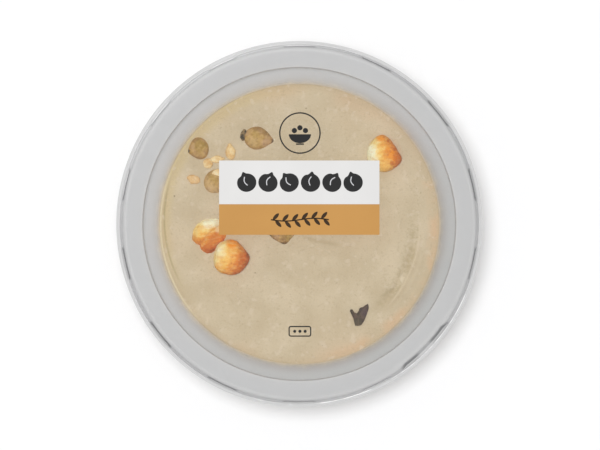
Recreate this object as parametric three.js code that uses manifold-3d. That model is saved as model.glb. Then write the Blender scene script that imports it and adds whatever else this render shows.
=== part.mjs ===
// A round tub of hummus under a clear press-on lid, with whole chickpeas, crumbs and a scrap of
// parsley on the hummus, and a two-colour label on the lid.
//
// Millimetres, +Z up. The origin is the centre of the base, on the surface that the tub stands on.
// +Y points to the upper edge of the label, and angles turn from +X towards +Y.

import * as THREE from "three";
import { mergeVertices } from "three/addons/utils/BufferGeometryUtils.js";
import Module from "manifold-3d";

// ---- Driving dimensions ----

const GAP = 0.3; // clearance round each piece that is set into another

// Tub: a thermoformed cup. Radii and heights are those of the middle of its wall.
const TUB_WALL = 0.8;
const FOOT_INNER_RADIUS = 32;
const BASE_PUSH_UP = 1.2; // how far the middle of the base stands clear of the surface
const BASE_RADIUS = 39.6;
const SHOULDER_RADIUS = 45.9; // where the wall turns out into the shoulder
const SHOULDER_HEIGHT = 35.6;
const MOUTH_RADIUS = 51.4; // where the shoulder turns up to the mouth
const MOUTH_HEIGHT = 39.2;
const FLANGE_RADIUS = 56.1;
const FLANGE_HEIGHT = 42.6;
const TUB_SEGMENTS = 56;

// Lid: a thin clear cap pressed over the flange. Radii and heights are those of its middle.
const LID_WALL = 0.6;
const PANEL_HEIGHT = 42; // the sunken panel that carries the label
const PLUG_RADIUS = 50.75; // the upright wall round the panel
const LID_RIM_HEIGHT = FLANGE_HEIGHT + TUB_WALL / 2 + LID_WALL / 2; // rests on the flange
const SKIRT_TOP_RADIUS = 57.6;
const SKIRT_FOOT_RADIUS = 58.35;
const SKIRT_FOOT_HEIGHT = 38.2;
const LIP_RADIUS = 59.5;
const LIP_HEIGHT = 37.9;
const LUG_COUNT = 14;
const LUG_DEPTH = 0.45; // how far each grip lug stands in from the skirt
const LUG_TOP_HEIGHT = 41.4;
const LUG_FULL_HEIGHT = 39.9;
const LID_SEGMENTS = 6 * LUG_COUNT;
const TAB_ANGLE = 315.6; // the thumb notch, where the lid is lifted
const TAB_HALF_WIDTH = 10;
const TAB_DEPTH = 0.75;

// Hummus: smoothed level with a spoon.
const HUMMUS_LEVEL = 35;
const HUMMUS_RINGS = 13;

// Label: a pale panel over a mustard band.
const LABEL_WIDTH = 52;
const LABEL_TOP = 20.6; // Y of its upper edge
const LABEL_JOIN = 6.4; // Y where the panel meets the band
const LABEL_BOTTOM = -3.5;
const LABEL_THICKNESS = 0.3;

// Toppings. at is the middle in plan, rise is the middle's height above the hummus, size is the
// length, width and height, turn is the direction of the beak, and tip lowers or lifts the beak.
const GOLDEN_CHICKPEAS = [
  { at: [-29.8, -3.1], rise: -1.5, size: [11.2, 10.6, 8.8], turn: 262, tip: 8 },
  { at: [-22.5, -10.9], rise: 1.9, size: [10.8, 11.4, 9.0], turn: 352, tip: -6 },
  { at: [27.5, 23.1], rise: 1.2, size: [10.8, 11.2, 9.4], turn: 345, tip: -4 },
];
const TAN_CHICKPEAS = [
  { at: [-13.6, 27.9], rise: -0.5, size: [9.2, 7.8, 6.4], turn: 350, tip: 0 },
  { at: [-32.7, 24.6], rise: -0.5, size: [6.6, 7.6, 5.6], turn: 196, tip: 0 },
  { at: [-27.2, 13.8], rise: -0.7, size: [7.8, 8.4, 6.4], turn: 320, tip: 0 },
  { at: [-6.0, -1.0], rise: -0.5, size: [8.6, 7.8, 6.4], turn: 282, tip: 0 },
];
// Crumbs of chickpea. turn is the direction of the long side.
const CRUMBS = [
  { at: [-22.5, 23.8], size: [5.2, 2.8, 1.7], turn: 98 },
  { at: [-30.1, 19.6], size: [3.2, 2.7, 1.8], turn: 60 },
  { at: [-26.6, 21.0], size: [4.0, 2.2, 1.4], turn: 8 },
  { at: [-34.6, 14.6], size: [4.2, 2.6, 1.6], turn: 148 },
];
// The crumb that lies on the third tan chickpea, by that chickpea's own middle.
const RIDING_CRUMB = { at: [0.8, 2.6], rise: 2.1, size: [3.8, 2.4, 1.5], turn: 10 };

// Parsley scrap: a torn, two-lobed bit of leaf.
const LEAF_MIDDLE = [19.6, -29.7];
const LEAF_THICKNESS = 0.4;
const LEAF_WAVE = 0.25;
const LEAF_WAVE_LENGTH = 5;

// ---- Small helpers ----

const wasm = await Module();
wasm.setup();

const radians = THREE.MathUtils.degToRad;
const bell = (distance, width) => Math.exp(-((distance / width) ** 2));

// 1 within inner of the middle of an angular stretch, 0 beyond outer, and smooth between.
function arcWindow(angle, middle, inner, outer) {
  const turn = THREE.MathUtils.euclideanModulo(angle - middle + 180, 360) - 180;
  return 1 - THREE.MathUtils.smoothstep(Math.abs(turn), inner, outer);
}

const angleOf = (x, y) => THREE.MathUtils.radToDeg(Math.atan2(y, x));

// A smooth line through corners [radius, height, fillet], each corner rounded off by its fillet.
function filletedLine(corners, steps) {
  const at = corners.map(([r, z]) => new THREE.Vector2(r, z));
  const path = new THREE.Path().moveTo(at[0].x, at[0].y);
  for (let i = 1; i < at.length - 1; i++) {
    const fillet = corners[i][2];
    const back = at[i - 1].clone().sub(at[i]).normalize();
    const ahead = at[i + 1].clone().sub(at[i]).normalize();
    const reach = fillet / Math.tan(back.angleTo(ahead) / 2);
    const start = at[i].clone().addScaledVector(back, reach);
    const end = at[i].clone().addScaledVector(ahead, reach);
    path.lineTo(start.x, start.y).quadraticCurveTo(at[i].x, at[i].y, end.x, end.y);
  }
  path.lineTo(at.at(-1).x, at.at(-1).y);
  return path.getPoints(steps).filter((p, i, all) => !i || p.distanceTo(all[i - 1]) > 1e-6);
}

// The line moved sideways, to its left as it runs, with mitred corners.
function offsetLine(line, distance) {
  const legs = line.slice(1).map((p, i) => p.clone().sub(line[i]).normalize());
  return line.map((p, i) => {
    const before = legs[Math.max(i - 1, 0)];
    const after = legs[Math.min(i, legs.length - 1)];
    const along = before.clone().add(after).normalize();
    const reach = distance / along.dot(after);
    return new THREE.Vector2(p.x - along.y * reach, p.y + along.x * reach);
  });
}

// A closed profile turned about +Z.
function turned(profile, segments) {
  return new THREE.LatheGeometry(profile, segments).rotateX(Math.PI / 2);
}

// A shell of even thickness whose middle follows a line that starts on the axis.
function turnedShell(line, thickness, segments) {
  const inner = offsetLine(line, thickness / 2);
  const outer = offsetLine(line, -thickness / 2);
  return turned([...outer, ...inner.reverse()], segments);
}

// Moves each vertex by move(vertex), which changes it in place.
function reshape(geometry, move) {
  const position = geometry.getAttribute("position");
  const vertex = new THREE.Vector3();
  for (let i = 0; i < position.count; i++) {
    vertex.fromBufferAttribute(position, i);
    move(vertex);
    position.setXYZ(i, vertex.x, vertex.y, vertex.z);
  }
  return geometry;
}

function toSolid(geometry) {
  const bare = new THREE.BufferGeometry();
  bare.setAttribute("position", geometry.getAttribute("position"));
  bare.setIndex(geometry.index);
  const merged = mergeVertices(bare, 1e-4);
  return new wasm.Manifold(
    new wasm.Mesh({
      numProp: 3,
      vertProperties: merged.getAttribute("position").array,
      triVerts: new Uint32Array(merged.index.array),
    }),
  );
}

function fromSolid(solid) {
  const mesh = solid.getMesh();
  const geometry = new THREE.BufferGeometry();
  geometry.setAttribute("position", new THREE.BufferAttribute(mesh.vertProperties, 3));
  geometry.setIndex(new THREE.BufferAttribute(mesh.triVerts, 1));
  geometry.computeVertexNormals();
  return geometry;
}

const tub = new THREE.Group();

function addPiece(name, geometry, material) {
  const mesh = new THREE.Mesh(geometry, material);
  mesh.name = name;
  tub.add(mesh);
  return mesh;
}

// ---- Materials ----

const paint = (color, roughness, extra = {}) =>
  new THREE.MeshStandardMaterial({ color, roughness, metalness: 0, ...extra });

const tubPlastic = paint("#d3d5d6", 0.35);
const lidPlastic = paint("#e4e6e7", 0.12, { transparent: true, opacity: 0.3 });
const paste = paint("#cfbc9c", 0.6);
const goldenSkin = paint("#dc9a55", 0.45);
const tanSkin = paint("#b6955f", 0.5);
const driedLeaf = paint("#5c4f47", 0.7);
const labelPale = paint("#ececec", 0.4);
const labelMustard = paint("#cf9a56", 0.4);

// ---- Tub ----

// How far the thumb notch moves the rim in towards the axis. room makes the notch wider.
function notchDepth(x, y, room) {
  const inner = TAB_HALF_WIDTH - 3 + room;
  return TAB_DEPTH * arcWindow(angleOf(x, y), TAB_ANGLE, inner, inner + 4);
}

function moveIn(vertex, depth) {
  const radius = Math.hypot(vertex.x, vertex.y);
  vertex.x *= 1 - depth / radius;
  vertex.y *= 1 - depth / radius;
}

const wallMiddle = (height) =>
  THREE.MathUtils.mapLinear(
    height,
    TUB_WALL / 2,
    SHOULDER_HEIGHT,
    BASE_RADIUS,
    SHOULDER_RADIUS,
  );

const baseCorners = [
  [0, BASE_PUSH_UP + TUB_WALL / 2],
  [FOOT_INNER_RADIUS - 2, BASE_PUSH_UP + TUB_WALL / 2, 0],
  [FOOT_INNER_RADIUS, TUB_WALL / 2, 0],
  [BASE_RADIUS, TUB_WALL / 2, 3],
];

function tubGeometry() {
  const line = filletedLine(
    [
      ...baseCorners,
      [SHOULDER_RADIUS, SHOULDER_HEIGHT, 2.5],
      [MOUTH_RADIUS, MOUTH_HEIGHT, 1.8],
      [MOUTH_RADIUS + 0.4, FLANGE_HEIGHT, 0.7],
      [FLANGE_RADIUS, FLANGE_HEIGHT],
    ],
    2,
  );
  return reshape(turnedShell(line, TUB_WALL, TUB_SEGMENTS), (vertex) => {
    if (Math.hypot(vertex.x, vertex.y) > FLANGE_RADIUS - 1) {
      moveIn(vertex, notchDepth(vertex.x, vertex.y, 3.5));
    }
  });
}

addPiece("tub", tubGeometry(), tubPlastic);

// ---- Toppings ----

// A chickpea is a round body with a blunt beak at its +X end and a shallow cleft behind the beak.
const BEAK = 0.2;
const CLEFT = 0.09;

function chickpeaGeometry([length, width, height]) {
  const geometry = new THREE.IcosahedronGeometry(1, 2);
  return reshape(geometry, (vertex) => {
    const beak = BEAK * Math.exp((vertex.x - 1) / 0.09);
    const cleft = CLEFT * bell(vertex.y, 0.24) * bell(vertex.x - 0.45, 0.4) * Math.max(vertex.z, 0);
    vertex.multiplyScalar(1 + beak - cleft);
    vertex.set((vertex.x * length) / 2, (vertex.y * width) / 2, (vertex.z * height) / 2);
  });
}

// A chickpea in its place. clearance makes the larger shape of its pocket in the hummus.
function placedChickpea({ at, rise, size, turn, tip }, clearance) {
  return chickpeaGeometry(size.map((length) => length + 2 * clearance))
    .rotateY(radians(-tip))
    .rotateZ(radians(turn))
    .translate(at[0], at[1], HUMMUS_LEVEL + rise);
}

// A crumb is a flattened pebble with a flat broken side.
function placedCrumb({ at, size: [length, width, height], turn }, middleHeight) {
  return reshape(new THREE.IcosahedronGeometry(1, 1), (vertex) => {
    vertex.z = Math.min(vertex.z, 0.75) * (1 + 0.25 * vertex.x);
    vertex.set((vertex.x * length) / 2, (vertex.y * width) / 2, (vertex.z * height) / 2);
  })
    .rotateZ(radians(turn))
    .translate(at[0], at[1], middleHeight);
}

GOLDEN_CHICKPEAS.forEach((pea, i) => {
  addPiece(`golden_chickpea_${i + 1}`, placedChickpea(pea, 0), goldenSkin);
});

// One crumb lies on the third tan chickpea and is part of it.
const CRUMB_BEARER = 2;
TAN_CHICKPEAS.forEach((pea, i) => {
  let geometry = placedChickpea(pea, 0);
  if (i === CRUMB_BEARER) {
    const middle = [pea.at[0] + RIDING_CRUMB.at[0], pea.at[1] + RIDING_CRUMB.at[1]];
    const height = HUMMUS_LEVEL + pea.rise + RIDING_CRUMB.rise;
    const crumb = placedCrumb({ ...RIDING_CRUMB, at: middle }, height);
    geometry = fromSolid(toSolid(geometry).add(toSolid(crumb)));
  }
  addPiece(`tan_chickpea_${i + 1}`, geometry, tanSkin);
});

// ---- Hummus ----

// Height of the hummus above its level: a ridge left against the wall, a long stroke of the spoon
// near the wall at the right, a faint one at the left, a short one in the middle, and slow waves.
function reliefAt(x, y) {
  const radius = Math.hypot(x, y);
  const angle = angleOf(x, y);
  const right = arcWindow(angle, -25, 12, 28);
  const left = arcWindow(angle, 184, 20, 40);
  const wallRidge = 0.5 * Math.exp((radius - SHOULDER_RADIUS) / 1.2);
  const rightStroke = right * (0.55 * bell(radius - 41, 1.3) - 0.9 * bell(radius - 38, 1.7));
  const leftStroke = -0.4 * left * bell(radius - 43.4, 1.3);
  const shortStroke = -0.7 * bell(x - 8.5, 5) * bell(y + 6.6 + 0.2 * x, 1.8);
  const waves = 0.2 * Math.sin(0.21 * x + 0.8) * Math.cos(0.17 * y - 0.4);
  return wallRidge + rightStroke + leftStroke + shortStroke + waves;
}

function hummusGeometry() {
  const wall = filletedLine([...baseCorners, [wallMiddle(HUMMUS_LEVEL), HUMMUS_LEVEL]], 2);
  const side = offsetLine(wall, TUB_WALL / 2 + GAP);
  const edge = side.at(-1).x;
  for (let ring = 1; ring <= HUMMUS_RINGS; ring++) {
    const share = (ring / HUMMUS_RINGS) ** 1.5; // rings are closer near the wall
    side.push(new THREE.Vector2(edge * (1 - share), HUMMUS_LEVEL));
  }
  const body = reshape(turned(side, TUB_SEGMENTS), (vertex) => {
    if (vertex.z > HUMMUS_LEVEL - 0.5) vertex.z = HUMMUS_LEVEL + reliefAt(vertex.x, vertex.y);
  });
  let solid = toSolid(body);
  for (const pea of [...GOLDEN_CHICKPEAS, ...TAN_CHICKPEAS]) {
    solid = solid.subtract(toSolid(placedChickpea(pea, GAP)));
  }
  for (const crumb of CRUMBS) {
    const height = HUMMUS_LEVEL + reliefAt(...crumb.at) + crumb.size[2] / 4;
    solid = solid.add(toSolid(placedCrumb(crumb, height)));
  }
  return fromSolid(solid);
}

addPiece("hummus", hummusGeometry(), paste);

// ---- Parsley scrap ----

// Torn outline: a long lobe to the upper right, a short one to the upper left, and the stalk end
// below, in millimetres from the middle.
function leafOutline() {
  return new THREE.Shape()
    .moveTo(-1.3, -3.3)
    .quadraticCurveTo(-1.7, -2.5, -2.0, -1.0)
    .quadraticCurveTo(-2.6, 0.2, -3.1, 1.3)
    .quadraticCurveTo(-3.0, 2.2, -2.3, 1.8)
    .quadraticCurveTo(-1.6, 0.6, -0.9, 0.65)
    .quadraticCurveTo(-0.3, 1.1, 0.0, 2.2)
    .quadraticCurveTo(0.4, 2.6, 1.0, 2.6)
    .quadraticCurveTo(1.9, 3.2, 2.7, 3.7)
    .quadraticCurveTo(3.2, 2.7, 2.7, 1.2)
    .quadraticCurveTo(1.9, -0.9, 1.2, -2.2)
    .quadraticCurveTo(0.5, -3.3, -0.2, -3.4)
    .quadraticCurveTo(-0.8, -3.5, -1.3, -3.3);
}

function leafGeometry() {
  const flat = new THREE.ExtrudeGeometry(leafOutline(), {
    depth: LEAF_THICKNESS,
    bevelEnabled: false,
    curveSegments: 2,
  });
  return reshape(flat, (vertex) => {
    const wave = LEAF_WAVE * Math.cos((2 * Math.PI * (vertex.x + 0.3 * vertex.y)) / LEAF_WAVE_LENGTH);
    vertex.x += LEAF_MIDDLE[0];
    vertex.y += LEAF_MIDDLE[1];
    vertex.z += HUMMUS_LEVEL + reliefAt(vertex.x, vertex.y) + 1.5 * GAP + wave;
  });
}

addPiece("parsley_scrap", leafGeometry(), driedLeaf);

// ---- Lid ----

// How far the grip lugs move the skirt in towards the axis.
function lugDepth(x, y, height) {
  const pitch = 360 / LUG_COUNT;
  const angle = THREE.MathUtils.euclideanModulo(angleOf(x, y), pitch);
  const across = arcWindow(angle, pitch / 2, pitch / 8, pitch / 4);
  const down = 1 - THREE.MathUtils.smoothstep(height, LUG_FULL_HEIGHT, LUG_TOP_HEIGHT);
  return LUG_DEPTH * across * down;
}

function lidGeometry() {
  const line = filletedLine(
    [
      [0, PANEL_HEIGHT],
      [PLUG_RADIUS - 0.1, PANEL_HEIGHT, 0],
      [PLUG_RADIUS + 0.1, LID_RIM_HEIGHT, 0],
      [SKIRT_TOP_RADIUS, LID_RIM_HEIGHT, 0.6],
      [SKIRT_TOP_RADIUS + 0.15, LUG_TOP_HEIGHT, 0],
      [SKIRT_TOP_RADIUS + 0.3, LUG_FULL_HEIGHT, 0],
      [SKIRT_FOOT_RADIUS, SKIRT_FOOT_HEIGHT, 0],
      [LIP_RADIUS, LIP_HEIGHT],
    ],
    2,
  );
  return reshape(turnedShell(line, LID_WALL, LID_SEGMENTS), (vertex) => {
    const radius = Math.hypot(vertex.x, vertex.y);
    if (radius < FLANGE_RADIUS) return;
    // The lip keeps its round outer edge.
    const held = THREE.MathUtils.smoothstep(radius, SKIRT_FOOT_RADIUS + 0.4, LIP_RADIUS - 0.1);
    // No lug stands in the thumb notch.
    const notch = notchDepth(vertex.x, vertex.y, 0);
    const lug = lugDepth(vertex.x, vertex.y, vertex.z) * (1 - notch / TAB_DEPTH);
    moveIn(vertex, (notch + lug) * (1 - held));
  });
}

addPiece("lid", lidGeometry(), lidPlastic);

// ---- Label ----

function addLabelField(name, top, bottom, material) {
  const geometry = new THREE.BoxGeometry(LABEL_WIDTH, top - bottom, LABEL_THICKNESS);
  const height = PANEL_HEIGHT + LID_WALL / 2 + LABEL_THICKNESS / 2;
  addPiece(name, geometry, material).position.set(0, (top + bottom) / 2, height);
}

addLabelField("label_panel", LABEL_TOP, LABEL_JOIN, labelPale);
addLabelField("label_band", LABEL_JOIN, LABEL_BOTTOM, labelMustard);

export default tub;
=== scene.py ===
# A round tub of hummus with chickpeas on top, shut with a clear press-on lid.

import random
from itertools import pairwise
from math import atan2, copysign, cos, degrees, exp, hypot, pi, radians, sin, sqrt, tan, tau

import bpy
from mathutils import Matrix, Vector


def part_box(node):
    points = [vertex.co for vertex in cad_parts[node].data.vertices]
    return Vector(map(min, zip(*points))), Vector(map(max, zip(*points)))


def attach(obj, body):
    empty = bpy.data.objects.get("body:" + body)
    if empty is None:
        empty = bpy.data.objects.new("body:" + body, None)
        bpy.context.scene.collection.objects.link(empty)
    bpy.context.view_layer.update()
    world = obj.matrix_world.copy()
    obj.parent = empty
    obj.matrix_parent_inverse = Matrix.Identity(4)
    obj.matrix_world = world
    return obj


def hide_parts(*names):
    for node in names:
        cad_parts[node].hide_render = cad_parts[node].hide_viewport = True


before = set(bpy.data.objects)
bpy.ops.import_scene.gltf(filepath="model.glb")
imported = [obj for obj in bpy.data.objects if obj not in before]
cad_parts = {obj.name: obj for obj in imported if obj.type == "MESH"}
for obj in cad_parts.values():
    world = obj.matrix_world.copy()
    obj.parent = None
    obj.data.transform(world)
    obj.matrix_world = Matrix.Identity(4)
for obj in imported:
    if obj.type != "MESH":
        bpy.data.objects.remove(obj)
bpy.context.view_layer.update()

# ---- Tub ----
# A shallow cup of thin clear plastic, drawn from a heated sheet over a round mould. The wall leans
# out from a foot ring to a shoulder, and ends in the flat flange that the lid is pressed over.

MM = 0.001
TUB_WALL = 0.8 * MM
FOOT_INNER_RADIUS = 32 * MM
BASE_PUSH_UP = 1.2 * MM
BASE_RADIUS = 39.6 * MM
SHOULDER_RADIUS = 45.9 * MM
SHOULDER_HEIGHT = 35.6 * MM
MOUTH_RADIUS = 51.4 * MM
MOUTH_HEIGHT = 39.2 * MM
FLANGE_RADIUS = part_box("tub")[1].x
FLANGE_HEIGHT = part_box("tub")[1].z - TUB_WALL / 2
NOTCH_ANGLE = 315.6  # the thumb notch, where the lid is lifted
NOTCH_HALF_WIDTH = 10  # degrees
NOTCH_DEPTH = 0.75 * MM
NOTCH_REACH = 1 * MM  # how far in from the edge the flange is notched
TUB_STEPS = 168
EDGE_GREY = (0.16, 0.16, 0.165, 1)
FILLET_STEPS = 6
EDGE_ANGLE = 55  # degrees, from which an edge is rounded off


def rounded_line(corners):
    """A line through corners (radius, height, fillet), each corner rounded by its fillet."""
    points = [Vector(corners[0][:2])]
    for before, here, after in zip(corners, corners[1:], corners[2:]):
        corner = Vector(here[:2])
        back = (Vector(before[:2]) - corner).normalized()
        ahead = (Vector(after[:2]) - corner).normalized()
        reach = here[2] / tan(back.angle(ahead) / 2)
        for step in range(FILLET_STEPS + 1):
            t = step / FILLET_STEPS
            points.append(corner + reach * ((1 - t) ** 2 * back + t**2 * ahead))
    return points + [Vector(corners[-1][:2])]


def named(name):
    """The piece at hand, under this name."""
    piece = bpy.context.active_object
    piece.name = piece.data.name = name
    return piece


def open_whole():
    """Opens the piece at hand for editing, with all of it selected."""
    bpy.ops.object.mode_set(mode="EDIT")
    bpy.ops.mesh.select_all(action="SELECT")


def turned(name, line, steps):
    """Draws a line beside the Z axis, point by point, and spins it once round the axis."""
    bpy.ops.mesh.primitive_plane_add(size=MM)
    piece = named(name)
    open_whole()
    bpy.ops.mesh.select_mode(type="VERT")
    bpy.ops.mesh.merge(type="CENTER")
    bpy.ops.transform.translate(value=(line[0].x, 0, line[0].y))
    for here, there in pairwise(line):
        step = (there.x - here.x, 0, there.y - here.y)
        bpy.ops.mesh.extrude_vertices_move(TRANSFORM_OT_translate={"value": step})
    bpy.ops.mesh.select_all(action="SELECT")
    bpy.ops.mesh.spin(steps=steps, angle=tau, center=(0, 0, 0), axis=(0, 0, 1))
    bpy.ops.mesh.select_all(action="SELECT")
    bpy.ops.mesh.remove_doubles(threshold=MM / 100)
    bpy.ops.mesh.normals_make_consistent(inside=False)
    bpy.ops.object.mode_set(mode="OBJECT")
    return piece


def apply_modifier(piece, kind, **settings):
    """Adds a modifier with these settings to a piece and applies it."""
    modifier = piece.modifiers.new(kind.lower(), kind)
    for name, value in settings.items():
        setattr(modifier, name, value)
    bpy.context.view_layer.objects.active = piece
    bpy.ops.object.modifier_apply(modifier=modifier.name)


def give_wall(piece, thickness):
    """Turns a surface into a wall of even thickness round it, with its cut edge rounded off."""
    apply_modifier(piece, "SOLIDIFY", thickness=thickness, offset=0, use_even_offset=True)
    edge = {"width": thickness / 3, "segments": 2, "angle_limit": radians(EDGE_ANGLE)}
    apply_modifier(piece, "BEVEL", **edge)


def pick(*pieces):
    """Selects these pieces and nothing else."""
    bpy.ops.object.select_all(action="DESELECT")
    for piece in pieces:
        piece.select_set(True)
    bpy.context.view_layer.objects.active = pieces[0]


def finished(piece, finish, crease=40):
    """Gives a piece its finish, smooth apart from edges that turn by more than crease degrees."""
    piece.data.materials.append(finish)
    pick(piece)
    bpy.ops.object.shade_smooth_by_angle(angle=radians(crease))


def reshape(piece, move):
    """Moves every point of a piece to where move says."""
    for point in piece.data.vertices:
        point.co = move(point.co)
    piece.data.update()


def smooth_step(value, low, high):
    """0 below low, 1 above high, and smooth between."""
    share = min(max((value - low) / (high - low), 0), 1)
    return share * share * (3 - 2 * share)


def arc_window(x, y, middle, inner, outer):
    """1 within inner degrees of the middle of an arc, 0 beyond outer, and smooth between."""
    angle = degrees(atan2(y, x))
    turn = (angle - middle + 180) % 360 - 180
    return 1 - smooth_step(abs(turn), inner, outer)


def notch_depth(point, inner, outer):
    """How far the thumb notch moves a point of the rim in, full within inner degrees."""
    return NOTCH_DEPTH * arc_window(point.x, point.y, NOTCH_ANGLE, inner, outer)


def moved_in(point, depth):
    """A point moved towards the Z axis by depth."""
    shrink = 1 - depth / hypot(point.x, point.y)
    return Vector((point.x * shrink, point.y * shrink, point.z))


BASE_CORNERS = [
    (0, BASE_PUSH_UP + TUB_WALL / 2),
    (FOOT_INNER_RADIUS - 2 * MM, BASE_PUSH_UP + TUB_WALL / 2, 1.2 * MM),
    (FOOT_INNER_RADIUS, TUB_WALL / 2, 0.9 * MM),
    (BASE_RADIUS, TUB_WALL / 2, 3 * MM),
]
WALL_CORNERS = [
    *BASE_CORNERS,
    (SHOULDER_RADIUS, SHOULDER_HEIGHT, 2.5 * MM),
    (MOUTH_RADIUS, MOUTH_HEIGHT, 1.8 * MM),
    (MOUTH_RADIUS + 0.4 * MM, FLANGE_HEIGHT, 0.7 * MM),
    (FLANGE_RADIUS, FLANGE_HEIGHT),
]


def notched_flange(point):
    if hypot(point.x, point.y) < FLANGE_RADIUS - NOTCH_REACH:
        return point
    return moved_in(point, notch_depth(point, NOTCH_HALF_WIDTH + 0.5, NOTCH_HALF_WIDTH + 4.5))


class Wire:
    """A shader value that can be reckoned with: 1 - wire adds a Math node to its finish."""

    def __init__(self, finish, socket):
        self.finish = finish
        self.socket = socket

    def math(self, operation, first, second=0.0):
        return self.finish.node("Math", {"operation": operation}, {0: first, 1: second})

    def __add__(self, other):
        return self.math("ADD", self, other)

    def __sub__(self, other):
        return self.math("SUBTRACT", self, other)

    def __rsub__(self, other):
        return self.math("SUBTRACT", other, self)

    def __mul__(self, other):
        return self.math("MULTIPLY", self, other)

    def __pow__(self, other):
        return self.math("POWER", self, other)

    def __abs__(self):
        return self.math("ABSOLUTE", self)

    __radd__ = __add__
    __rmul__ = __mul__


class Finish:
    """A material, and the nodes that work out its look. Its lengths are in mm."""

    def __init__(self, name):
        self.material = bpy.data.materials.new(name)
        self.material.use_nodes = True
        self.tree = self.material.node_tree
        self.tree.nodes.clear()
        self.place = self.node("TexCoord", {}, {}, "Object")
        self.plan = self.vector("MULTIPLY", self.place, (1 / MM, 1 / MM, 0), 0)
        self.radius = self.vector("LENGTH", self.plan, (0, 0, 0))
        self.height = self.axis("Z") * (1 / MM)

    def node(self, kind, settings, sockets, output=0):
        """Adds a node, sets its settings and then its sockets, and gives one of its outputs."""
        made = self.tree.nodes.new("ShaderNode" + kind)
        for name, value in settings.items():
            setattr(made, name, value)
        for name, value in sockets.items():
            if isinstance(value, Wire):
                self.tree.links.new(value.socket, made.inputs[name])
            else:
                made.inputs[name].default_value = value
        return Wire(self, made.outputs[output])

    def vector(self, operation, first, second, output="Value"):
        return self.node("VectorMath", {"operation": operation}, {0: first, 1: second}, output)

    def axis(self, name):
        return self.node("SeparateXYZ", {}, {0: self.place}, name)

    def mix(self, factor, first, second):
        """Blends two colours: first at factor 0, second at factor 1."""
        return self.node("Mix", {"data_type": "RGBA"}, {0: factor, 6: first, 7: second}, 2)

    def layered(self, base, *layers):
        """Lays tints over a colour. A layer is how much of it shows, then its red, green, blue."""
        for share, *tint in layers:
            base = self.mix(share, base, colour(*tint))
        return base

    def patched(self, base, middle, patches, mottle=1.0):
        """Lays patches over a colour. A patch is its place from the middle, size, tint, depth."""
        for x, y, size, tint, depth in patches:
            spot = self.spot(middle, x, y, size)
            base = self.layered(base, (depth * mottle * spot, *tint))
        return base

    def ramp(self, factor, *stops):
        """A colour for each factor. A stop is its position, then its red, green and blue."""
        wire = self.node("ValToRGB", {}, {0: factor})
        elements = wire.socket.node.color_ramp.elements
        while len(elements) < len(stops):
            elements.new(1)
        for element, (position, *tint) in zip(elements, stops):
            element.position = position
            element.color = colour(*tint)
        return wire

    def step(self, value, low, high):
        """A shader's smooth_step."""
        ends = {"Value": value, "From Min": low, "From Max": high}
        return self.node("MapRange", {"interpolation_type": "SMOOTHSTEP"}, ends)

    def noise(self, scale, detail=2.0, place=None):
        """Cloudy noise from 0 to 1. scale is in lumps a metre."""
        sockets = {"Vector": place or self.place, "Scale": scale, "Detail": detail}
        return self.node("TexNoise", {}, sockets)

    def turn_from(self, middle):
        """How far round the Z axis a point stands from this direction, in radians."""
        x, y = self.axis("X"), self.axis("Y")
        turn = x.math("ARCTAN2", y, x) - radians(middle)
        return turn.math("ARCCOSINE", turn.math("COSINE", turn))

    def arc(self, middle, inner, outer):
        """1 within inner degrees of the middle of an arc, and 0 beyond outer."""
        turn = self.turn_from(middle)
        return 1 - self.step(turn, radians(inner), radians(outer))

    def waves(self, count, middle):
        """Waves from 0 to 1 round the Z axis, with this many crests, one of them at middle."""
        turn = self.turn_from(middle)
        return 0.5 + 0.5 * turn.math("COSINE", count * turn)

    def ring(self, radius, width):
        """1 on a ring round the Z axis, and 0 beyond its width."""
        return 1 - self.step(abs(self.radius - radius), 0, width)

    def spot(self, middle, x, y, size):
        """1 in a round spot at x, y from a middle, seen from above, and 0 beyond its size."""
        away = self.vector("DISTANCE", self.plan, (middle.x / MM + x, middle.y / MM + y, 0))
        return 1 - self.step(away, 0.4 * size, size)

    def stroke(self, middle, start, end, width):
        """1 on a straight stroke, laid out from a middle, and 0 beyond its width."""
        start, end = ((middle.xy / MM + Vector(point)).to_3d() for point in (start, end))
        run = end - start
        ahead = run.normalized()
        from_start = self.vector("SUBTRACT", self.plan, start, 0)
        along = self.vector("DOT_PRODUCT", from_start, ahead)
        aside = abs(self.vector("DOT_PRODUCT", from_start, (-ahead.y, ahead.x, 0)))
        begun = self.step(along, -width, width)
        ended = self.step(along, run.length - width, run.length + width)
        return (1 - self.step(aside, 0, width)) * begun * (1 - ended)

    def bump(self, height, distance, strength):
        sockets = {"Height": height, "Distance": MM * distance, "Strength": strength}
        return self.node("Bump", {}, sockets)

    def shade(self, surface):
        """Ends the finish with its surface shader and gives the material."""
        output = self.tree.nodes.new("ShaderNodeOutputMaterial")
        self.tree.links.new(surface.socket, output.inputs["Surface"])
        return self.material

    def skin(self, tone, roughness, gloss=0.5, **more):
        """Ends the finish with an opaque surface."""
        sockets = {"Base Color": tone, "Roughness": roughness, "Specular IOR Level": gloss, **more}
        return self.shade(self.node("BsdfPrincipled", {}, sockets))


def colour(red, green, blue):
    """A colour given as it looks, in parts of 255, as the shaders' linear one."""
    parts = [part / 255 for part in (red, green, blue)]
    linear = [p / 12.92 if p <= 0.04045 else ((p + 0.055) / 1.055) ** 2.4 for p in parts]
    return (*linear, 1)


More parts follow.
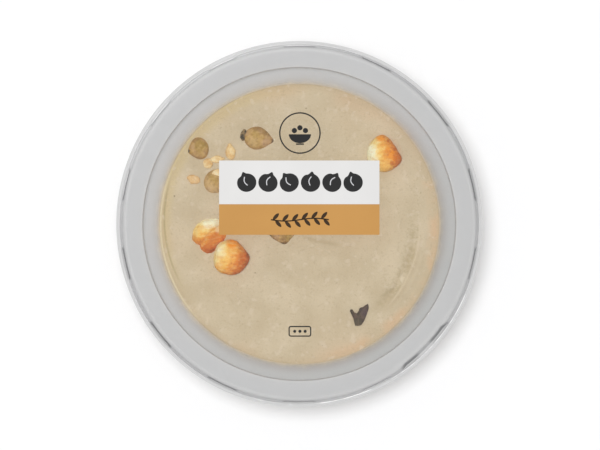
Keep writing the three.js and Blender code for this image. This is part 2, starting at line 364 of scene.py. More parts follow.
def film(finish, passed, milk, haze, edge, shine, roughness):
    """A thin plastic film: it passes light, is cloudy by its haze, and mirrors more edge on.

    edge is how much it darkens where it is seen edge on, through more of its own plastic, and
    shine is how well it mirrors.
    """
    slant = finish.node("LayerWeight", {}, {"Blend": 0.5}, "Facing")
    mirror = shine * (0.04 + 0.96 * slant**5)
    ripple = finish.bump(finish.noise(60, 3), 0.15, 0.3)
    clear = finish.node("BsdfTransparent", {}, {"Color": passed})
    dull = {"Roughness": 1.0, "Specular IOR Level": 0.0}
    cloud = finish.node("BsdfPrincipled", {}, {"Base Color": milk, **dull})
    shaded = finish.node("BsdfPrincipled", {}, {"Base Color": EDGE_GREY, **dull})
    gloss_look = {"Color": (1, 1, 1, 1), "Roughness": roughness, "Normal": ripple}
    gloss = finish.node("BsdfAnisotropic", {}, gloss_look)
    body = finish.node("MixShader", {}, {0: haze, 1: clear, 2: cloud})
    body = finish.node("MixShader", {}, {0: edge * slant**2, 1: body, 2: shaded})
    return finish.shade(finish.node("MixShader", {}, {0: mirror, 1: body, 2: gloss}))


def tub_finish():
    """Natural polypropylene: milky, and smeared with paste just above the paste's level, with
    painted shade greying it by the paste and towards the lower right.
    """
    finish = Finish("tub_film")
    ragged = finish.height + 1.2 * (finish.noise(300, 3) - 0.5)
    smear = 1 - finish.step(ragged, 35.2, 36.9)
    # Painted shade: the milk and the smear grey towards the lower right, away from the lamp, and
    # the milk more low down by the paste.
    side = finish.waves(1, 315)
    by_paste = finish.mix(side, colour(229, 228, 226), colour(194, 191, 187))
    above = finish.mix(side, colour(235, 236, 236), colour(215, 217, 216))
    milk = finish.mix(finish.step(finish.height, 36, 38.4), by_paste, above)
    milk = finish.mix(smear, milk, finish.mix(side, colour(240, 228, 204), colour(222, 208, 180)))
    wetted = 1 - finish.step(finish.height, 33.6, 34.8)
    haze = 0.6 + 0.35 * smear - 0.5 * wetted
    return film(finish, (0.93, 0.93, 0.935, 1), milk, haze, edge=0.1, shine=1.0, roughness=0.12)


tub = turned("tub_shell", rounded_line(WALL_CORNERS), TUB_STEPS)
reshape(tub, notched_flange)
give_wall(tub, TUB_WALL)
finished(tub, tub_finish())
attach(tub, "root")
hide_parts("tub")

# ---- Hummus ----
# The paste fills the tub up to just under the shoulder. Its top was smoothed level with a spoon,
# which left a long stroke beside the wall at the right, a fainter one at the left, and a short one.

HUMMUS_LEVEL = 35 * MM
WALL_OVERLAP = 0.15 * MM  # the paste wets the wall, so it reaches just into it
TOP_RING = 0.42 * MM
HUMMUS_STEPS = 216
CHICKPEAS = [f"golden_chickpea_{i}" for i in (1, 2, 3)]
CHICKPEAS += [f"tan_chickpea_{i}" for i in (1, 2, 3, 4)]
CHICKPEA_BOXES = [((low + high) / 2, (high - low) / 2) for low, high in map(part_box, CHICKPEAS)]
MENISCUS = 0.3 * MM

# What follows the wall: how high it stands, the middle of its arc, the degrees on either side of
# that within which it is full and beyond which it is gone, its radius and its width, in mm.
STROKES = [
    (0.55, -25, 12, 28, 41, 1.3),  # the ridge of the long stroke
    (-0.9, -25, 12, 28, 38, 1.7),  # its trough
    (-0.15, 184, 20, 40, 43.9, 0.8),  # the fainter stroke
]


def bell(distance, width):
    return exp(-((distance / width) ** 2))


def meniscus(x, y):
    """How far the paste was pushed up in a ring round each chickpea."""
    rise = 0
    for middle, half in CHICKPEA_BOXES:
        apart = hypot((x - middle.x) / half.x, (y - middle.y) / half.y) - 1
        rise += MENISCUS * bell(apart * (half.x + half.y) / 2, 0.9 * MM)
    return rise


def relief(x, y):
    """Height of the paste above its level."""
    radius = hypot(x, y)
    up_wall = 0.5 * exp((radius - SHOULDER_RADIUS) / (1.2 * MM))
    waves = 0.2 * sin(0.21 * x / MM + 0.8) * cos(0.17 * y / MM - 0.4)
    short_stroke = 0.5 * bell(x - 8.5 * MM, 5 * MM) * bell(y + 6.6 * MM + 0.2 * x, 1.8 * MM)
    rise = up_wall + waves - short_stroke
    for high, middle, inner, outer, reach, width in STROKES:
        on_arc = arc_window(x, y, middle, inner, outer)
        rise += high * on_arc * bell(radius - reach * MM, width * MM)
    return MM * rise + meniscus(x, y)


def on_paste(x, y, above=0.0):
    """The place on the paste at x and y, or this far above it, in mm."""
    x, y = MM * x, MM * y
    return Vector((x, y, HUMMUS_LEVEL + relief(x, y) + MM * above))


def offset_line(line, distance):
    """A line moved sideways, to its left as it runs, with mitred corners."""
    legs = [(there - here).normalized() for here, there in pairwise(line)]
    moved = []
    for i, point in enumerate(line):
        before = legs[max(i - 1, 0)]
        after = legs[min(i, len(legs) - 1)]
        along = (before + after).normalized()
        reach = distance / along.dot(after)
        moved.append(Vector((point.x - along.y * reach, point.y + along.x * reach)))
    return moved


def wall_middle(height):
    """Radius of the middle of the tub's wall at a height."""
    share = (height - TUB_WALL / 2) / (SHOULDER_HEIGHT - TUB_WALL / 2)
    return BASE_RADIUS + share * (SHOULDER_RADIUS - BASE_RADIUS)


def hummus_line():
    """From the middle of the base, up the wall, and back to the middle over the top."""
    wall = rounded_line([*BASE_CORNERS, (wall_middle(HUMMUS_LEVEL), HUMMUS_LEVEL)])
    side = offset_line(wall, TUB_WALL / 2 - WALL_OVERLAP)
    side[0].x = 0
    rings = round(side[-1].x / TOP_RING)
    top = [Vector((side[-1].x * (1 - i / rings), HUMMUS_LEVEL)) for i in range(1, rings + 1)]
    return side + top


def smoothed_top(point):
    if point.z < HUMMUS_LEVEL - 0.5 * MM:
        return point
    return Vector((point.x, point.y, HUMMUS_LEVEL + relief(point.x, point.y)))


def displaced(piece, size, height):
    """Gives a surface lumps of this size that rise and fall by this height."""
    lumps = bpy.data.textures.new("lumps", "CLOUDS")
    lumps.noise_scale = size
    lumps.noise_depth = 3
    laid = {"texture": lumps, "texture_coords": "LOCAL"}
    apply_modifier(piece, "DISPLACE", strength=2 * height, mid_level=0.5, **laid)


def paste_finish():
    """Smooth chickpea paste: clouds of cream and tan, oily by the wall, with fine grains."""
    finish = Finish("hummus_paste")
    radius = finish.radius
    clouds = finish.noise(110, 5)
    flecks = finish.noise(420, 4)
    grains = finish.noise(1500, 2)
    oily = finish.step(finish.noise(34, 3), 0.48, 0.68)
    by_wall = finish.step(radius, 38, 44.5)
    yellow = finish.arc(150, 25, 75) * finish.ring(43.6, 3)
    peach = finish.arc(335, 35, 65) * finish.ring(44, 3) * finish.step(clouds, 0.4, 0.6)
    # Painted shade in the groove of the fainter stroke beside the left wall.
    scored_shade = finish.arc(184, 14, 26) * finish.ring(44.5 - 1.6 * finish.turn_from(160), 0.5)
    lit_edge = finish.arc(188, 22, 40) * finish.ring(45.2, 0.55)
    oil_line = finish.arc(138, 20, 36) * finish.ring(45, 0.5)
    trough = finish.arc(-22, 16, 34) * finish.ring(36.9, 2.6)
    scratch = finish.arc(-18, 14, 24) * finish.ring(38.5, 0.7)
    rough = 0.35 + 0.9 * finish.step(finish.noise(800, 3), 0.44, 0.6)
    crest = finish.arc(-23, 15, 21) * finish.ring(39.3, 0.5)
    streak = finish.stroke(Vector(), (1.5, -4.6), (12.6, -6.8), 1.2)
    below = 1 - finish.step(finish.height, 33.6, 34.6)  # the side, seen through the wall
    laid = {"Vector": finish.place, "Scale": (1, 1, 3.5)}
    spread = finish.noise(95, 4, finish.node("Mapping", {}, laid))
    pockets = finish.step(finish.noise(230, 1), 0.68, 0.71)
    paste = finish.layered(
        finish.ramp(clouds, (0.3, 199, 181, 147), (0.5, 206, 189, 156), (0.7, 213, 196, 164)),
        (0.3 * oily, 208, 184, 148),
        (0.35 * by_wall * oily, 214, 178, 140),
        (0.5 * finish.step(radius, 42.6, 45.4), 196, 175, 140),
        (0.4 * finish.step(radius, 44.9, 45.6), 178, 162, 132),
        (0.5 * yellow, 208, 186, 132),
        (0.55 * peach, 218, 178, 136),
        (0.45 * scored_shade, 150, 136, 84),
        (0.7 * lit_edge, 234, 222, 186),
        (0.5 * oil_line, 216, 198, 142),
        ((0.36 * trough + 0.25 * scratch) * rough, 164, 147, 104),
        (0.5 * crest, 224, 209, 176),
        (0.35 * streak, 172, 150, 108),
        (0.4 * finish.step(grains, 0.56, 0.7), 182, 162, 128),
        (0.42 * finish.step(flecks, 0.58, 0.68), 222, 206, 180),
        (0.7 * below * finish.step(spread, 0.5, 0.62), 236, 222, 194),
        (0.5 * below * finish.step(spread, 0.48, 0.36), 180, 158, 118),
        (0.7 * below * pockets, 146, 124, 88),
    )
    grain = finish.bump(flecks + 0.6 * grains, 0.18, 0.4)
    return finish.skin(paste, 0.45 + 0.25 * clouds, gloss=0.35, Normal=grain)


hummus = turned("hummus_paste", hummus_line(), HUMMUS_STEPS)
reshape(hummus, smoothed_top)
finished(hummus, paste_finish(), 60)
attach(hummus, "root")
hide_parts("hummus")

# ---- Roasted chickpeas ----
# Three large chickpeas, roasted gold and brown. Each is painted cream on the side towards the lamp
# and
# browner on the far side: painted light and shade over the roast's own colours. Each lies in the
# paste, and is creased where its two halves meet.

GOLDEN_LUMPS = 3.2 * MM
CORNER_EASE = 8  # degrees


def outline_radii(outline):
    """Radius of a closed outline of (x, y) points at each degree, eased round its corners."""
    turns = sorted((degrees(atan2(y, x)), hypot(x, y)) for x, y in outline)
    sharp = []
    for degree in range(-180, 180):
        after = next((i for i, stop in enumerate(turns) if stop[0] > degree), 0)
        low, high = turns[after - 1], turns[after]
        share = ((degree - low[0]) % 360) / ((high[0] - low[0]) % 360)
        sharp.append(low[1] + share * (high[1] - low[1]))
    eased = range(-CORNER_EASE, CORNER_EASE + 1)
    return [sum(sharp[(i + ease) % 360] for ease in eased) / len(eased) for i in range(360)]


def crease_depth(x, y, crease, depth, width):
    """Depth of a groove along a line of (x, y) points, shallower at its ends."""
    here = Vector((x, y))
    deepest = 0
    for start, end in pairwise(crease):
        start, end = Vector(start), Vector(end)
        run = end - start
        share = min(max((here - start).dot(run) / run.length_squared, 0), 1)
        deepest = max(deepest, bell((here - start - share * run).length, width))
    return depth * deepest


def ball(name, detail):
    """A sphere of radius 1 that is made ready to be shaped."""
    bpy.ops.mesh.primitive_ico_sphere_add(subdivisions=detail, radius=1)
    return named(name)


def roasted_body(looks, half_height, middle):
    """What moves a point of a ball to where it is on a roasted chickpea."""
    radii = outline_radii(looks["outline"])

    def shaped(point):
        reach = hypot(point.x, point.y)
        angle = degrees(atan2(point.y, point.x)) + 180
        before = int(angle)
        low, high = radii[before % 360], radii[(before + 1) % 360]
        radius = (low + (angle - before) * (high - low)) * reach**0.92
        x = radius * point.x / max(reach, 1e-6)
        y = radius * point.y / max(reach, 1e-6)
        top = min(max(2 * point.z, 0), 1)
        groove = top and crease_depth(x, y, looks["crease"], looks["crease_depth"], 0.75)
        z = half_height * copysign(abs(point.z) ** 0.95, point.z)
        return middle + MM * Vector((x, y, z - groove * top))

    return shaped


def roasted_finish(name, middle, looks):
    """Skin from cream on its lamp side, through gold, to brown, with dark spots: painted light and
    shade over the roast, with painted highlights and shade along its wrinkles.
    """
    finish = Finish(name)
    turn = radians(looks["lamp_side_turn"])
    pale = Vector((cos(turn), sin(turn), 0.2))
    away = finish.vector("SUBTRACT", finish.place, middle, 0)
    across = finish.vector("DOT_PRODUCT", away, pale / ROASTED_RADIUS)
    blotches = finish.noise(420, 4)
    wrinkles = finish.noise(900, 5)
    turned_back = (0, 0, radians(-looks["streak_turn"]))
    laid = {"Vector": finish.place, "Rotation": turned_back, "Scale": (0.25, 1, 1)}
    streaks = finish.noise(1000, 3, finish.node("Mapping", {}, laid))
    # Painted light and shade: paler towards the lamp side, browner away from it, over the roast and
    # its blotches.
    roast_and_painted_light = looks["roast"] - 0.42 * across + 0.6 * (blotches - 0.5)
    dark = finish.step(roast_and_painted_light, 0.3, 0.7)
    painted_highlight_streaks = finish.step(streaks, 0.5, 0.64)
    skin = finish.ramp(
        roast_and_painted_light,
        (0.0, 252, 244, 208), (0.2, 250, 226, 152), (0.36, 245, 197, 102),
        (0.54, 238, 163, 62), (0.76, 224, 123, 36), (1.0, 184, 80, 18),
    )
    # Painted highlights along the streaks of its wrinkles.
    skin = finish.layered(skin, ((0.5 - 0.3 * dark) * painted_highlight_streaks, 254, 228, 156))
    mottle = finish.step(wrinkles, 0.2, 0.5) * (1 - 0.25 * painted_highlight_streaks)
    skin = finish.patched(skin, middle, looks["patches"], mottle)
    for start, end in pairwise(looks["crease"]):
        seam = finish.stroke(middle, start, end, 0.5)
        skin = finish.layered(skin, (0.5 * looks["crease_depth"] * seam, 170, 88, 34))
    # Painted shade in the creases of its streaks and wrinkles, deeper on the browner side.
    skin = finish.layered(
        skin,
        ((0.25 + 0.25 * dark) * (1 - finish.step(streaks, 0.36, 0.48)), 222, 140, 60),
        (0.5 * dark * (1 - finish.step(wrinkles, 0.34, 0.48)), 194, 100, 34),
    )
    grain = finish.bump(wrinkles + 0.5 * blotches + streaks, 0.25, 0.6)
    return finish.skin(skin, 0.42 + 0.3 * wrinkles, gloss=0.12, Normal=grain)


# Places are in mm from the middle of each chickpea, as seen from above. An outline goes round it,
# and a patch has its place, its size, its tint and how deep that tint is. Turns are in degrees.
# The cream patches lie on each chickpea's lamp side and add to its painted light.
CREAM = (253, 251, 214)
GOLD = (252, 196, 100)
ORANGE = (244, 146, 8)
BROWN = (191, 90, 0)
BURNT = (130, 58, 0)
ROASTED_RADIUS = 5.4 * MM
ROASTED = {
    "golden_chickpea_1": {
        "middle": (-29.8, -3.4),
        "outline": [
            (-5.4, -0.3), (-4.9, 1.3), (-3.7, 3.4), (-2.2, 4.8), (-0.3, 5.5), (1.6, 5.8),
            (3.9, 5.6), (5.3, 4.3), (6.0, 2.2), (6.3, -0.6), (6.2, -2.0), (4.7, -3.6),
            (2.8, -5.5), (2.0, -6.4), (0.3, -6.7), (-1.0, -6.4), (-2.2, -5.4), (-2.7, -4.3),
            (-4.1, -3.3), (-5.3, -2.0),
        ],
        "crease": [(4.0, 3.2), (0.3, 0.5), (-2.8, -3.6)],
        "crease_depth": 0.7, "lamp_side_turn": 112, "roast": 0.54, "streak_turn": 50,
        "patches": [
            (0.2, 3.8, 2.6, CREAM, 0.9), (2.6, 4.2, 2.6, CREAM, 0.9),
            (-5.0, -1.2, 1.8, BROWN, 0.5), (0.8, -4.6, 3.0, BROWN, 0.6),
            (1.6, -1.6, 2.4, BROWN, 0.4), (3.2, -3.6, 1.6, BURNT, 0.35),
            (3.4, 1.4, 1.4, CREAM, 0.4), (2.8, -0.4, 2.0, BROWN, 0.3),
            (1.6, -5.6, 1.5, BURNT, 0.5),
        ],
    },
    "golden_chickpea_2": {
        "middle": (-22.5, -10.9),
        "outline": [
            (-5.3, 0.6), (-4.2, 3.7), (-2.9, 5.1), (-1.2, 5.7), (0.8, 5.8), (2.4, 5.3),
            (3.5, 4.0), (4.8, 2.4), (6.4, 0.5), (6.3, -0.4), (5.6, -2.0), (4.4, -3.8),
            (2.8, -5.0), (0.8, -5.7), (-1.4, -5.4), (-3.6, -4.7), (-4.9, -3.1), (-5.3, -1.2),
        ],
        "crease": [(2.4, 5.2), (4.0, 2.4), (4.1, -1.5), (3.2, -4.6)],
        "crease_depth": 0.3, "lamp_side_turn": 154, "roast": 0.53, "streak_turn": 36,
        "patches": [
            (-3.0, 1.4, 2.4, CREAM, 0.25), (0.9, 4.8, 2.8, ORANGE, 0.95),
            (-3.6, -3.0, 2.2, ORANGE, 0.4), (0.2, -0.6, 2.4, GOLD, 0.5),
            (5.2, 0.0, 2.8, BROWN, 0.8), (-1.0, -5.4, 2.4, ORANGE, 0.4),
            (1.8, -5.0, 1.8, BROWN, 0.4), (4.8, -1.9, 0.9, BURNT, 0.5),
            (6.0, 0.6, 1.2, BURNT, 0.6),
        ],
    },
    "golden_chickpea_3": {
        "middle": (27.5, 23.1),
        "outline": [
            (-5.5, 0.6), (-5.1, 2.4), (-4.2, 3.5), (-3.0, 4.6), (-2.3, 5.4), (-1.2, 5.9),
            (0.2, 5.9), (1.4, 4.8), (2.8, 3.2), (4.6, 0.5), (5.7, -1.1), (6.1, -2.0),
            (5.6, -3.0), (4.8, -4.0), (3.1, -5.1), (1.4, -5.9), (-0.1, -6.2), (-1.5, -5.9),
            (-3.2, -5.0), (-4.8, -3.3), (-5.4, -1.3),
        ],
        "crease": [(0.0, 5.5), (0.8, 1.0), (1.6, -3.9)],
        "crease_depth": 0.15, "lamp_side_turn": 184, "roast": 0.5, "streak_turn": 104,
        "patches": [
            (-4.4, 0.6, 2.8, CREAM, 0.95), (-3.6, -2.2, 2.4, CREAM, 0.7),
            (0.6, -4.4, 2.6, GOLD, 0.95), (3.4, -1.2, 2.8, ORANGE, 0.6),
            (2.2, -4.8, 1.6, GOLD, 0.5),
            (-1.0, 5.0, 2.0, ORANGE, 0.8), (2.2, 1.0, 2.4, ORANGE, 0.6),
            (4.6, -1.4, 2.2, BROWN, 0.5), (3.4, 1.2, 0.9, BROWN, 0.6),
            (2.6, -3.4, 1.0, BROWN, 0.7), (1.4, 3.9, 0.8, BROWN, 0.7),
        ],
    },
}
for name, looks in ROASTED.items():
    low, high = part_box(name)
    x, y = looks["middle"]
    middle = Vector((MM * x, MM * y, (low.z + high.z) / 2))
    half_height = (high.z - low.z) / 2 / MM
    roasted = ball(name.replace("golden", "roasted"), 6)
    reshape(roasted, roasted_body(looks, half_height, middle))
    displaced(roasted, GOLDEN_LUMPS, 0.3 * MM)
    displaced(roasted, 0.8 * MM, 0.07 * MM)
    finished(roasted, roasted_finish(roasted.name, middle, looks), 60)
    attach(roasted, "root")
    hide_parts(name)

# ---- Plain chickpeas ----
# Four smaller boiled chickpeas, pressed half into the paste. Each has a short beak at one end and
# a cleft beside it, and is painted darker round its edge as seen from above: painted shade.

# Places, sizes and patches in mm, and turns in degrees. Narrow is how far the body narrows towards
# its beak, rim how much painted shade darkens its edge, and tip how black its beak is. A patch has
# its place from the middle, seen from above, its size, tint and depth.
PALE = (216, 184, 134)
PINK = (194, 156, 118)
OLIVE = (175, 143, 62)
UMBER = (144, 106, 52)
BLACK = (66, 52, 34)
PLAIN = {
    "tan_chickpea_1": {
        "at": (-13.6, 27.9, -0.5), "size": (9.2, 7.8, 6.4), "turn": 350, "narrow": 0.2,
        "rim": 0.9, "tip": 0.9,
        "patches": [
            (0.4, 3.0, 2.4, UMBER, 0.5), (2.9, 1.6, 1.6, UMBER, 0.6),
            (-1.6, -1.2, 2.4, PALE, 0.35), (2.8, -1.6, 2.0, PINK, 0.7),
            (-0.6, 1.2, 1.8, OLIVE, 0.5), (3.4, 0.0, 1.4, PINK, 0.4),
        ],
    },
    "tan_chickpea_2": {
        "at": (-32.7, 24.6, -0.5), "size": (6.6, 7.6, 5.6), "turn": 196, "narrow": 0.15,
        "rim": 0.9, "tip": 0.9,
        "patches": [
            (-0.8, -3.0, 2.4, UMBER, 0.35), (-1.0, 3.0, 1.8, UMBER, 0.5),
            (0.4, 0.8, 2.6, OLIVE, 0.8), (-3.4, -0.8, 0.6, BLACK, 1.0),
            (0.0, 0.2, 2.2, UMBER, 0.25),
            (2.6, -1.0, 1.4, UMBER, 0.3),
        ],
    },
    "tan_chickpea_3": {
        "at": (-27.2, 13.8, -0.7), "size": (7.8, 8.4, 6.4), "turn": 320, "narrow": 0.1,
        "rim": 0.4, "tip": 0.9,
        "patches": [
            (-2.4, -0.4, 2.4, PALE, 0.35), (-1.0, -2.8, 2.4, PALE, 0.6),
            (-0.8, 1.6, 2.4, OLIVE, 0.5), (-2.4, 2.8, 1.4, UMBER, 0.3),
        ],
    },
    "tan_chickpea_4": {
        "at": (-5.6, -1.4, -0.5), "size": (8.8, 9.8, 6.4), "turn": 279, "narrow": 0.04,
        "rim": 0.8, "tip": 0.35,
        "patches": [
            (-3.9, -2.8, 1.0, BLACK, 0.7), (-2.6, -3.6, 1.5, UMBER, 0.8),
            (-1.8, -2.6, 1.4, PINK, 0.6), (0.2, -4.7, 1.7, UMBER, 0.9),
            (0.2, -5.2, 0.9, BLACK, 0.3), (2.0, -2.8, 1.8, OLIVE, 0.6),
            (0.6, -2.6, 1.5, UMBER, 0.4),
        ],
    },
}


def swung(x, y, turn):
    """A place seen from above, turned round the middle."""
    right, up = cos(radians(turn)), sin(radians(turn))
    return x * right - y * up, x * up + y * right


def plain_body(middle, looks):
    """What moves a point of a ball to where it is on a plain chickpea, beak first."""

    def shaped(point):
        beak = 0.26 * exp((point.x - 1) / 0.06)
        cleft = 0.09 * bell(point.y, 0.24) * bell(point.x - 0.45, 0.4) * max(point.z, 0)
        seam = 0.02 * bell(point.y, 0.07) * max(point.z, 0)
        reach = (1 + beak - cleft - seam) / 2
        x, y, z = (reach * part * axis for part, axis in zip(looks["size"], point))
        y *= 1 - looks["narrow"] * smooth_step(point.x, -0.1, 0.95)
        return middle + MM * Vector((*swung(x, y, looks["turn"]), z))

    return shaped


def plain_finish(name, middle, looks):
    """Boiled skin: tan, blotched with olive, darker at its beak, and darker at its edge by painted
    shade.
    """
    finish = Finish(name)
    size, turn = looks["size"], radians(looks["turn"])
    right, up = cos(turn), sin(turn)
    away = finish.vector("SUBTRACT", finish.plan, (middle.x / MM, middle.y / MM, 0), 0)
    along = 2 * finish.vector("DOT_PRODUCT", away, (right / size[0], up / size[0], 0))
    aside = 2 * finish.vector("DOT_PRODUCT", away, (-up / size[1], right / size[1], 0))
    edge = along * along + aside * aside
    blotches = finish.noise(450, 4)
    wrinkles = finish.noise(1000, 4)
    mottles = finish.noise(330, 3)
    # Painted shade: the skin darkens towards its edge as seen from above.
    skin = finish.ramp(
        looks["rim"] * edge + 0.6 * (blotches - 0.5),
        (0.0, 199, 161, 98), (0.5, 193, 154, 90), (0.8, 180, 138, 74), (1.0, 154, 114, 58),
    )
    skin = finish.layered(
        skin,
        (0.5 * finish.step(mottles, 0.48, 0.62), *OLIVE),
        (0.5 - 0.5 * finish.step(mottles, 0.36, 0.48), *PINK),
    )
    skin = finish.layered(
        finish.patched(skin, middle, looks["patches"]),
        (0.4 * finish.step(wrinkles, 0.52, 0.64), 214, 178, 118),
        (0.35 - 0.35 * finish.step(wrinkles, 0.36, 0.48), *UMBER),
        (looks["tip"] * finish.step(along, 0.96, 1.15), *BLACK),
    )
    grain = finish.bump(wrinkles + 0.5 * blotches, 0.15, 0.5)
    return finish.skin(skin, 0.45 + 0.25 * wrinkles, gloss=0.35, Normal=grain)


for name, looks in PLAIN.items():
    x, y, rise = looks["at"]
    middle = Vector((MM * x, MM * y, HUMMUS_LEVEL + MM * rise))
    plain = ball(name.replace("tan", "plain"), 6)
    reshape(plain, plain_body(middle, looks))
    displaced(plain, 2.6 * MM, 0.12 * MM)
    finished(plain, plain_finish(plain.name, middle, looks), 60)
    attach(plain, "root")
    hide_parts(name)

# ---- Crumbs, scrap of skin and specks ----
# Four pale crumbs of roasted chickpea lie on the paste beside the plain ones, and a fifth on top of
# one. A scrap of dark skin sticks to the blunt end of another, and small specks lie all round.

# Places, length, width and height in mm, and turn in degrees.
CRUMBS = [
    (-22.4, 23.6, 5.2, 3.3, 1.7, 96),
    (-29.7, 19.8, 3.5, 3.2, 1.8, 60),
    (-26.6, 21.1, 4.8, 2.3, 1.4, 6),
    (-34.5, 14.6, 4.4, 3.0, 1.6, 160),
]
RIDING_CRUMB = (-26.3, 16.5, 4.4, 2.8, 1.7, 10)
RIDING_HEIGHT = HUMMUS_LEVEL + 1.4 * MM


def crumb_body(middle, size, turn):
    """What moves a point of a ball to where it is on a crumb with one narrow end."""

    def shaped(point):
        taper = 1 - 0.35 * smooth_step(point.x, 0.0, 1.0)
        x = point.x * size[0] / 2
        y = point.y * size[1] / 2 * taper
        z = min(point.z, 0.75) * (1 + 0.25 * point.x) * size[2] / 2
        return middle + MM * Vector((*swung(x, y, turn), z))

    return shaped


def crumb_finish():
    """Pale floury flesh, browner on the crumb at the left."""
    finish = Finish("crumb_flesh")
    blotches = finish.noise(520, 4)
    grains = finish.noise(1600, 3)
    flesh = finish.ramp(blotches, (0.3, 220, 174, 108), (0.5, 238, 206, 146), (0.7, 246, 232, 190))
    flesh = finish.patched(flesh, Vector(), [(*CRUMBS[-1][:2], 5, (220, 172, 112), 0.6)])
    grain = finish.bump(grains + blotches, 0.15, 0.5)
    return finish.skin(flesh, 0.5 + 0.2 * grains, Normal=grain)


def joined(name, pieces):
    """Joins pieces into one, which takes this name."""
    pick(*pieces)
    bpy.ops.object.join()
    return named(name)


crumbs = []
for x, y, length, width, height, turn in [*CRUMBS, RIDING_CRUMB]:
    middle = on_paste(x, y, height / 4)
    if (x, y) == RIDING_CRUMB[:2]:
        middle.z = RIDING_HEIGHT
    crumb = ball("crumb", 5)
    reshape(crumb, crumb_body(middle, (length, width, height), turn))
    displaced(crumb, 1.7 * MM, 0.3 * MM)
    displaced(crumb, 0.6 * MM, 0.06 * MM)
    crumbs.append(crumb)
crumbs = joined("crumbs", crumbs)
finished(crumbs, crumb_finish(), 60)
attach(crumbs, "root")
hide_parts("hummus", "tan_chickpea_3")

# Places and sizes of the largest specks, in mm, and how many more are strewn.
SPECKS = [
    (-40.7, 9.1, 0.5), (2.2, 37.7, 0.35), (39.6, 10.1, 0.35), (-14.4, -15.9, 0.45),
    (12.3, -19.2, 0.3),
]
STREWN_SPECKS = 46
random.seed(7)
for _ in range(STREWN_SPECKS):
    turn, reach = random.uniform(0, tau), 43 * sqrt(random.random())
    SPECKS.append((reach * cos(turn), reach * sin(turn), random.uniform(0.1, 0.22)))


def speck_finish():
    finish = Finish("speck_skin")
    tone = finish.ramp(finish.noise(900, 2), (0.35, 96, 78, 48), (0.65, 150, 126, 88))
    return finish.skin(tone, 0.4 + 0.3 * finish.noise(2000, 2))


specks = []
for x, y, size in SPECKS:
    speck = ball("speck", 2)
    long, wide = size * random.uniform(0.9, 1.5), size * random.uniform(0.7, 1)
    turn = random.uniform(0, 360)
    reshape(speck, crumb_body(on_paste(x, y), (long, wide, 0.4 * size), turn))
    specks.append(speck)
specks = joined("paste_specks", specks)
finished(specks, speck_finish(), 80)
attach(specks, "root")
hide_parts("hummus")

# The scrap of skin at the blunt end of the first plain chickpea.
SCRAP_MIDDLE = Vector((-18.0 * MM, 28.9 * MM, HUMMUS_LEVEL + 0.3 * MM))
SCRAP_SIZE = (2.4, 3.8, 1.6)
SCRAP_TURN = 350


def scrap_finish():
    finish = Finish("skin_scrap")
    tone = finish.ramp(finish.noise(900, 3), (0.4, 56, 44, 16), (0.62, 148, 121, 76))
    return finish.skin(tone, 0.5 + 0.2 * finish.noise(900))


scrap = ball("skin_scrap", 4)
reshape(scrap, crumb_body(SCRAP_MIDDLE, SCRAP_SIZE, SCRAP_TURN))
displaced(scrap, 0.9 * MM, 0.25 * MM)
finished(scrap, scrap_finish(), 60)
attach(scrap, "root")
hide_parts("tan_chickpea_1")

# ---- Scrap of parsley ----
# A small dark piece of leaf with two pointed lobes and a notch between them. It was laid on the
# paste and dried a little, so it is thin and wavy.

LEAF_MIDDLE = Vector((19.6 * MM, -29.7 * MM, 0))
LEAF_THICKNESS = 0.3 * MM
LEAF_LIFT = 0.55
LEAF_STEPS = 8  # points on each curve
LEAF_START = (-1.35, -3.45)
# The outline from its foot, clockwise: the bend and the end of each curve, in mm.
LEAF_CURVES = [
    ((-1.7, -2.5), (-2.0, -1.0)), ((-2.6, 0.2), (-3.1, 1.3)), ((-3.0, 2.2), (-2.3, 1.8)),
    ((-1.6, 0.6), (-0.9, 0.65)), ((-0.3, 1.1), (0.0, 2.2)), ((0.4, 2.6), (1.0, 2.6)),
    ((1.9, 3.2), (2.7, 3.7)), ((3.2, 2.7), (2.7, 1.2)), ((2.1, -0.5), (1.4, -1.9)),
    ((1.0, -2.8), (0.4, -3.3)), ((-0.4, -3.4), (-1.35, -3.45)),
]
LEAF_VEINS = [[(-0.3, -3.3), (-0.4, -0.6), (-2.4, 1.3)], [(-0.4, -0.6), (2.4, 3.2)]]
# Dried brown at its tips, a little green left at the foot, and purplish in the larger lobe.
LEAF_PATCHES = [
    (-2.6, 1.2, 1.4, (58, 42, 18), 0.8), (-0.4, 0.3, 0.9, (62, 48, 28), 0.7),
    (0.2, 1.9, 0.9, (60, 46, 30), 0.7), (-0.6, -2.4, 1.9, (84, 74, 50), 0.7),
    (1.6, 1.0, 1.8, (84, 62, 64), 0.6), (2.6, 3.4, 1.0, (60, 46, 34), 0.7),
]


def flat_outline(name, points, height):
    """A flat face inside an outline of (x, y) points."""
    bpy.ops.mesh.primitive_circle_add(vertices=len(points), fill_type="NGON", radius=MM)
    piece = named(name)
    for corner, (x, y) in zip(piece.data.vertices, points):
        corner.co = (x, y, height)
    piece.data.update()
    return piece


def leaf_points():
    points, start = [], Vector(LEAF_START)
    for bend, end in LEAF_CURVES:
        bend, end = Vector(bend), Vector(end)
        for step in range(LEAF_STEPS):
            t = step / LEAF_STEPS
            point = (1 - t) ** 2 * start + 2 * t * (1 - t) * bend + t * t * end
            points.append(LEAF_MIDDLE.xy + MM * point)
        start = end
    return points[::-1]


def lay_leaf(point):
    x, y = (point.xy - LEAF_MIDDLE.xy) / MM
    wave = 0.25 * cos(tau * (x + 0.3 * y) / 5)
    vein = max(crease_depth(x, y, line, 0.12, 0.22) for line in LEAF_VEINS)
    return on_paste(point.x / MM, point.y / MM, LEAF_LIFT + wave + vein)


